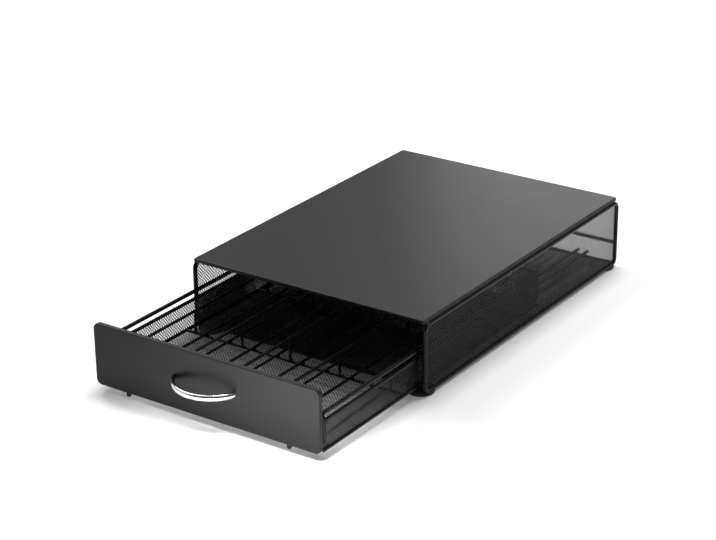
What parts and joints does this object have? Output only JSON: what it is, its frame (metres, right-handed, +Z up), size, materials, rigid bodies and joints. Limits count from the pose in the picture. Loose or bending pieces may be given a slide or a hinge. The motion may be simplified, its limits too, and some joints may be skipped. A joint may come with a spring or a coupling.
{
  "type": "coffee capsule drawer",
  "caption": "Low wire-and-mesh stand with a flat black steel top and a pull-out drawer with lanes for coffee capsules.",
  "frame": {"origin": "on the table, under the middle of the whole product with the drawer pulled out as it rests here", "axes": "+X to the right as seen from the handle, +Y from the handle to the back, +Z up"},
  "size_m": [0.307, 0.6206, 0.0875],
  "materials": {
    "sheet_steel_top": "satin black powder coat",
    "sheet_steel_front": "satin black powder coat",
    "steel_wire": "semi-gloss black powder coat",
    "expanded_metal": "semi-gloss black powder coat on expanded metal",
    "chrome_handle": "bright chrome plate",
    "zinc_screws": "zinc-plated steel",
    "rubber": "matt moulded rubber",
    "glide_plastic": "matt moulded nylon"
  },
  "bodies": {
    "stand": {"floor_mesh": "expanded_metal", "foot_front_left": "rubber", "foot_front_right": "rubber", "foot_rear_left": "rubber", "foot_rear_right": "rubber", "front_floor_bar": "steel_wire", "rear_floor_bar": "steel_wire", "rear_mid_bar": "steel_wire", "runner_wires_left": "steel_wire", "runner_wires_right": "steel_wire", "side_frame_left": "steel_wire", "side_frame_right": "steel_wire", "side_mesh_left": "expanded_metal", "side_mesh_right": "expanded_metal", "top_panel": "sheet_steel_top"},
    "drawer": {"drawer_base_wire_left": "steel_wire", "drawer_base_wire_right": "steel_wire", "drawer_floor_mesh": "expanded_metal", "drawer_front_frame": "steel_wire", "drawer_front_panel": "sheet_steel_front", "drawer_glides": "glide_plastic", "drawer_rear_frame": "steel_wire", "drawer_rear_mesh": "expanded_metal", "drawer_rim_wire_left": "steel_wire", "drawer_rim_wire_right": "steel_wire", "drawer_side_mesh_left": "expanded_metal", "drawer_side_mesh_right": "expanded_metal", "floor_cross_wires": "steel_wire", "handle": "chrome_handle", "handle_screws": "zinc_screws", "hoop_posts": "steel_wire", "lane_hoop_1": "steel_wire", "lane_hoop_2": "steel_wire", "lane_hoop_3": "steel_wire", "lane_hoop_4": "steel_wire", "lane_hoop_5": "steel_wire", "lane_rails": "steel_wire", "mesh_edge_wire_left": "steel_wire", "mesh_edge_wire_right": "steel_wire", "panel_bumpers": "rubber"}
  },
  "joints": [
    {"name": "drawer_slide", "type": "slide", "parent": "stand", "child": "drawer", "axis": [0, -1, 0], "range_m": [-0.1695, 0.18]}
  ]
}
